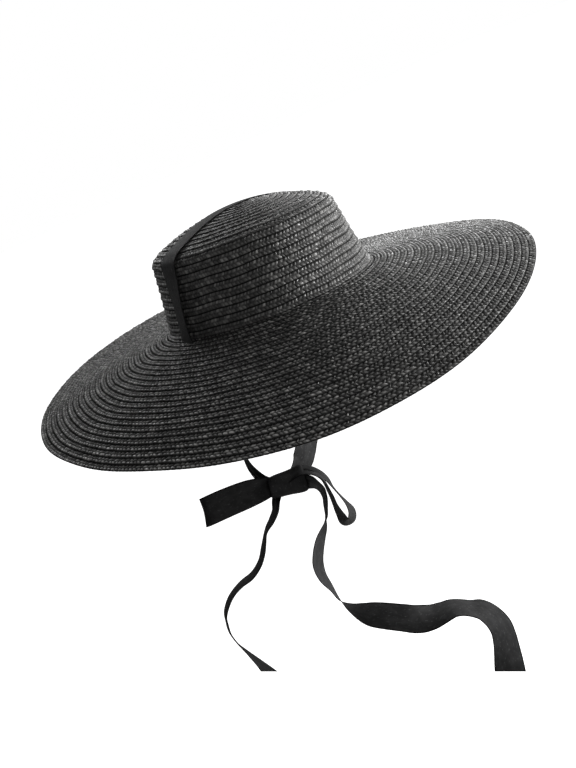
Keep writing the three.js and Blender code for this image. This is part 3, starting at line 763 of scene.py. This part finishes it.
tailLeft = (
    (-2, -2, -2.5, 66, 0.35), (-5.5, -12.5, -2, 70, 0.6), (-6.2, -21.7, 0, 77, 0.95), (-9.4, -30, 1, 80, 1),
    (-13.8, -38.3, 2, 84.5, 1), (-15.2, -46.6, 2, 82, 1), (-16.3, -54.4, 2, 80, 1),
    (-18.8, -64.4, 2, 81.5, 1), (-25.2, -74.7, 2, 82.5, 1), (-33.6, -81.4, 2, 83.5, 1),
    (-39.8, -88.2, 2, 83.5, 1), (-44.5, -96.6, 1.5, 81.5, 1), (-47.1, -107, 1, 81, 1),
    (-45.8, -114.5, 0.5, 80.5, 1), (-43.4, -122.2, 0, 79.5, 1), (-36.8, -131.3, -0.5, 79.5, 1),
    (-28.6, -139.2, -1, 85.5, 1), (-19, -147.5, -1, 93, 1), (-10.5, -154.7, -1, 99.5, 1),
)
tailRight = (
    (5, 0.5, -2, 40, 0.3), (13.5, 1.6, -2, 42, 0.52), (21.7, 1.5, -2, 52, 0.78),
    (27.2, -0.6, -1.5, 69, 0.95), (31.8, -4.4, -1, 75, 1), (34.3, -10.4, 0, 81, 1), (35, -18.1, 0, 83.5, 1),
    (35.5, -26.2, 0, 88, 1), (33.7, -36, 0, 104.5, 1), (30.9, -45.3, 0, 112, 1), (29.1, -55.7, 0, 114, 1),
    (29, -65.7, 0, 113, 1), (32.7, -76, 0, 106, 1), (39.8, -85.1, 0, 96, 1), (46.2, -94.1, 0, 88, 1),
    (54.7, -100.3, 0.5, 66.5, 1), (62.8, -103.8, 1, 45, 1), (72.8, -106.6, 1.5, 20, 1),
    (84.9, -108, 2, 8.5, 1), (98.4, -109.4, 2, 3, 1), (110, -110.6, 1.5, -10, 1),
    (122.1, -108.8, 1, -39, 1), (131.5, -105.1, 0.5, -54, 1), (138.8, -102.1, 0, -61.5, 1),
    (146.6, -101.3, 0, -65.5, 1), (155.3, -102.2, 0, -64, 1), (163.5, -103.5, 0, -51.5, 1),
    (171.9, -108.7, 0, -41, 1), (179.1, -117.4, 0, -29.5, 1), (182.2, -126.5, 0, -22.5, 1),
    (184.2, -137, 0, -12.5, 1.02), (186.8, -154.1, 0, 3, 1.1),
)
loopLeft = {
    "wide": (-0.2, 0.98, 0.0),
    "rows": (
        (-4, 0.5, 2.6, 0.36), (-13, -2.8, 4, 0.74), (-27, -7.4, 4.6, 0.96), (-46, -15, 4.4, 1.03),
        (-62, -22.2, 3.8, 1.04), (-65, -23.5, 2.2, 1.04), (-62, -22.2, 0.6, 1.04), (-46, -15, 0, 1.03),
        (-27, -7.4, -0.2, 0.96), (-13, -2.8, 0.4, 0.74), (-4, 0.5, -0.2, 0.36),
    ),
}
loopRight = (
    (4, 5.5, -1.5, 112, 0.32), (15, 13, -4, 114, 0.42), (24, 12.2, -5, 112, 0.52), (30.5, 9, -4.5, 108, 0.65),
    (35.7, 4.2, -3, 101, 0.85), (40.1, -1.4, -1.5, 92, 1), (46, -8.2, -0.5, 90.5, 1), (52.6, -16, 0, 96, 1),
    (56.6, -23, 0, 107, 1), (56.2, -29, 0, 111, 1), (51.4, -30.9, 0, 112, 1), (47.6, -25.4, 0, 107, 1),
    (42.7, -16.2, 0.5, 99, 1), (39, -7.8, 1.5, 98, 1), (35.4, -1, 3, 98, 0.85), (30.2, 5.8, 5, 98, 0.65),
    (23.4, 9.2, 6, 98, 0.5), (14, 8.6, 6, 100, 0.42), (4, 2.5, 4.5, 100, 0.32),
)


def bowPlaces(rows):
    return np.array(bow["middle"]) + np.array(rows, float)[:, :3] @ bowAxes


def turnedWide(path, turn):
    # square to the run and to the viewer, then rolled about the run by the turn
    run = unit(np.gradient(path, axis=0))
    flat = unit(np.cross(bowAxes[2], run))
    through = np.cross(run, flat)
    return flat * np.cos(turn)[:, None] + through * np.sin(turn)[:, None]


def turnedPiece(name, node, run, rows, sections, held, level=None):
    table = np.array(rows, float)
    path = smoothPath(bowPlaces(rows), sections)
    wide = turnedWide(path, np.radians(columnAt(table[:, 3], sections)))
    addRibbon(name, node, run, path, wide, columnAt(table[:, 4], sections), level)


def flatLoop(name, node, look, sections):
    table = np.array(look["rows"], float)
    path = smoothPath(bowPlaces(look["rows"]), sections)
    wide = np.broadcast_to(np.array(look["wide"]) @ bowAxes, path.shape)
    addRibbon(name, node, "left", path, wide, columnAt(table[:, 3], sections))


def tiePiece(name, node, run, side, rows, sections):
    # straight down out of its slot, then over to the knot, turning from the slot's turn to the table's
    table = np.array(rows, float)
    slot = [side * bow["slotOut"], bow["slotBehind"]]
    top = [slot + [bow["tieTop"]], slot + [bow["tieBelow"]]]
    path = smoothPath(np.vstack([top, bowPlaces(rows)]), sections)
    lead, last = bow["tieLead"], len(table) - 1.0
    place = np.linspace(0.0, lead + last, sections)
    wide = turnedWide(path, np.radians(columnAt(table[:, 3], sections, -lead, last)))
    turn = math.radians(bow["slotTurn"])
    fromSlot = np.array([side * math.sin(turn), -math.cos(turn), 0.0])
    meeting = np.argmin(np.abs(place - lead))
    wide = wide if wide[meeting] @ fromSlot > 0.0 else -wide
    mix = np.clip((place - bow["tieTurnFrom"]) / bow["tieTurnRun"], 0.0, 1.0)
    mix = (mix * mix * (3.0 - 2.0 * mix))[:, None]
    wide = wide * mix + fromSlot * (1.0 - mix)
    gather = columnAt(table[:, 4], sections, -lead, last)
    addRibbon(name, node, run, path, wide, gather)


crownRibbonPiece(crownRibbon)
# the left tie and the left tail take the darkest copy of the ribbon, painted as shade
tiePiece("chin_tie_left_band", "chin_tie_left", "deep_shade", -1.0, tieLeft, sections=140)
tiePiece("chin_tie_right_band", "chin_tie_right", "tie", 1.0, tieRight, sections=160)
flatLoop("bow_loop_left_band", "bow_loop_left", loopLeft, sections=180)
turnedPiece("bow_loop_right_band", "bow_loop_right", "right", loopRight, sections=260, held="folded")
tailCut = {"held": "hung", "level": bow["tailLevel"]}
turnedPiece("tail_left_band", "tail_left", "deep_shade", tailLeft, sections=280, **tailCut)
turnedPiece("tail_right_band", "tail_right", "right", tailRight, sections=420, **tailCut)

# Knot: one smooth turn of ribbon drawn round the bow, slimmer at the left, its right end drawn in
knot = {
    "offset": (3.8, 1.0),
    "along": 16.2,
    "across": 10.4,
    "through": 8.5,
    "taper": 0.14,
    "slope": 18.0,
    "squareness": 2.6,
    "thick": 0.8,
    "round": 96,
    "sections": 44,
    "drawnLeft": 0.2,
    "drawnRight": 0.4,
    "drawnPower": 8,
    "crease": 0.35,
    "creaseRun": 2.2,
    "creaseRound": 1.3,
    "mapHalf": 11.4,
    "flat": (ribbonWidth, 84.0),
}


def knotShell(look, inward):
    # a squarish oval that grows to the right, and rolls in a little at the left edge and more at the right
    angle = np.linspace(0.0, 2.0 * np.pi, look["round"], endpoint=False)[None, :]
    a = np.linspace(-1.0, 1.0, look["sections"])[:, None]
    power = 2.0 / look["squareness"]
    across = np.sign(np.cos(angle)) * np.abs(np.cos(angle)) ** power
    through = np.sign(np.sin(angle)) * np.abs(np.sin(angle)) ** power
    drawn = np.where(a < 0.0, look["drawnLeft"], look["drawnRight"])
    size = 1.0 - drawn + drawn * (1.0 - np.abs(a) ** look["drawnPower"]) ** 0.5
    dip = look["crease"] * np.sin(look["creaseRun"] * a + look["creaseRound"] * np.cos(angle)) ** 2
    shrink = size * (1.0 - (inward + dip) / look["through"])
    along = a * (look["along"] - inward) + 0.0 * angle
    slope = math.radians(look["slope"])
    up = across * look["across"] * shrink * (1.0 + look["taper"] * a)
    right = along * math.cos(slope) - up * math.sin(slope) + look["offset"][0]
    rise = along * math.sin(slope) + up * math.cos(slope) + look["offset"][1]
    places = np.stack([right, rise, through * look["through"] * shrink], axis=-1)
    return np.array(bow["middle"]) + places @ bowAxes


def knotPiece(look):
    # outer face one way along the bow and inner face back, so that the band is a closed ring
    outer = knotShell(look, 0.0)
    inner = knotShell(look, look["thick"])[::-1]
    points = np.concatenate([outer, inner])
    u = np.linspace(0.0, look["flat"][1], look["round"] + 1)
    half = look["mapHalf"]
    v = np.concatenate([np.linspace(-half, half, len(outer)), np.linspace(half, -half, len(inner)), [-half]])
    uv = np.stack(np.broadcast_arrays(u[None, :], v[:, None]), axis=-1)
    part = {"points": points, "uv": uv, "closeRows": True, "closeColumns": True, "turned": True}
    thing = meshFrom("bow_knot_wrap", [part], "ribbon")
    # the knot takes the left loop's copy, painted a little darker as shade
    finishPiece(thing, ribbon["left"], "ribbon", "bow_knot")


knotPiece(knot)
print("ribbon tied")


# Pale floor far below, white behind, and soft light from the right
stage = {
    "floorHeight": -0.95,
    "floorSize": 30.0,
    "floorColour": (0.8, 0.8, 0.8, 1.0),
    "skyToward": (0.85, 0.3, -0.45),  # right, up and back, as the viewer sees them
    "skyFrom": -0.35,
    "skyLow": 0.05,
    "skyHigh": 1.0,
    "lamps": {  # place in metres to the right, up and back; size; watts
        "right_softbox": ((1.2, 0.5, 0.26), 0.6, 28.5),
        "rear_softbox": ((0.35, 0.95, -1.05), 0.9, 10.0),
        "left_softbox": ((-1.2, 0.35, -0.6), 0.5, 2.2),
        "rear_left_softbox": ((-0.75, 0.85, -0.85), 0.7, 6.0),
        "front_softbox": ((0.15, -0.05, 1.25), 0.8, 2.6),
    },
}


def addFloor(look):
    half = look["floorSize"]
    z = look["floorHeight"]
    mesh = bpy.data.meshes.new("pale_floor")
    corners = [(-half, -half, z), (half, -half, z), (half, half, z), (-half, half, z)]
    mesh.from_pydata(corners, [], [(0, 1, 2, 3)])
    floor = bpy.data.objects.new("pale_floor", mesh)
    scene.collection.objects.link(floor)
    constants = {"Base Color": look["floorColour"], "Roughness": 0.9, "Emission Strength": 1.0}
    material, tree, shader = newMaterial("pale_floor", constants)
    # glows white to the eye alone, so that the hat keeps its shade
    seen = addNode(tree, "ShaderNodeLightPath")
    tree.links.new(seen.socket, shader.inputs["Emission Color"])
    mesh.materials.append(material)


def addSky(look):
    # brighter from the right and from behind the hat than from the viewer's side, and white where it is seen
    world = bpy.data.worlds.new("studio")
    scene.world = world
    world.use_nodes = True
    tree = world.node_tree
    toward = unit(np.array(look["skyToward"]) @ np.stack(viewAxes(pictureView)))
    coordinate = addNode(tree, "ShaderNodeTexCoord")
    pair = {0: coordinate, 1: tuple(toward)}
    facing = addNode(tree, "ShaderNodeVectorMath", {"operation": "DOT_PRODUCT"}, pair, out=1)
    glow = facing.ease(look["skyFrom"], 1.0) * (look["skyHigh"] - look["skyLow"]) + look["skyLow"]
    seen = addNode(tree, "ShaderNodeLightPath")
    strength = seen + (1.0 - seen) * glow
    background = tree.nodes["Background"]
    background.inputs["Color"].default_value = (1.0, 1.0, 1.0, 1.0)
    tree.links.new(strength.socket, background.inputs["Strength"])


def addLamp(name, place, size, power):
    data = bpy.data.lights.new(name, "AREA")
    data.shape = "DISK"
    data.size = size
    data.energy = power
    lamp = bpy.data.objects.new(name, data)
    right, up, back = viewAxes(pictureView)
    spot = right * place[0] + up * place[1] + back * place[2]
    axis = unit(spot)
    side = unit(np.cross(up, axis))
    axes = np.eye(4)
    axes[:3, :3] = np.stack([side, np.cross(axis, side), axis], axis=1)
    axes[:3, 3] = spot
    lamp.matrix_world = Matrix(axes.tolist())
    scene.collection.objects.link(lamp)


addFloor(stage)
addSky(stage)
for lampName, (lampPlace, lampSize, lampPower) in stage["lamps"].items():
    addLamp(lampName, lampPlace, lampSize, lampPower)
scene.view_settings.view_transform = "Standard"
print("stage lit")
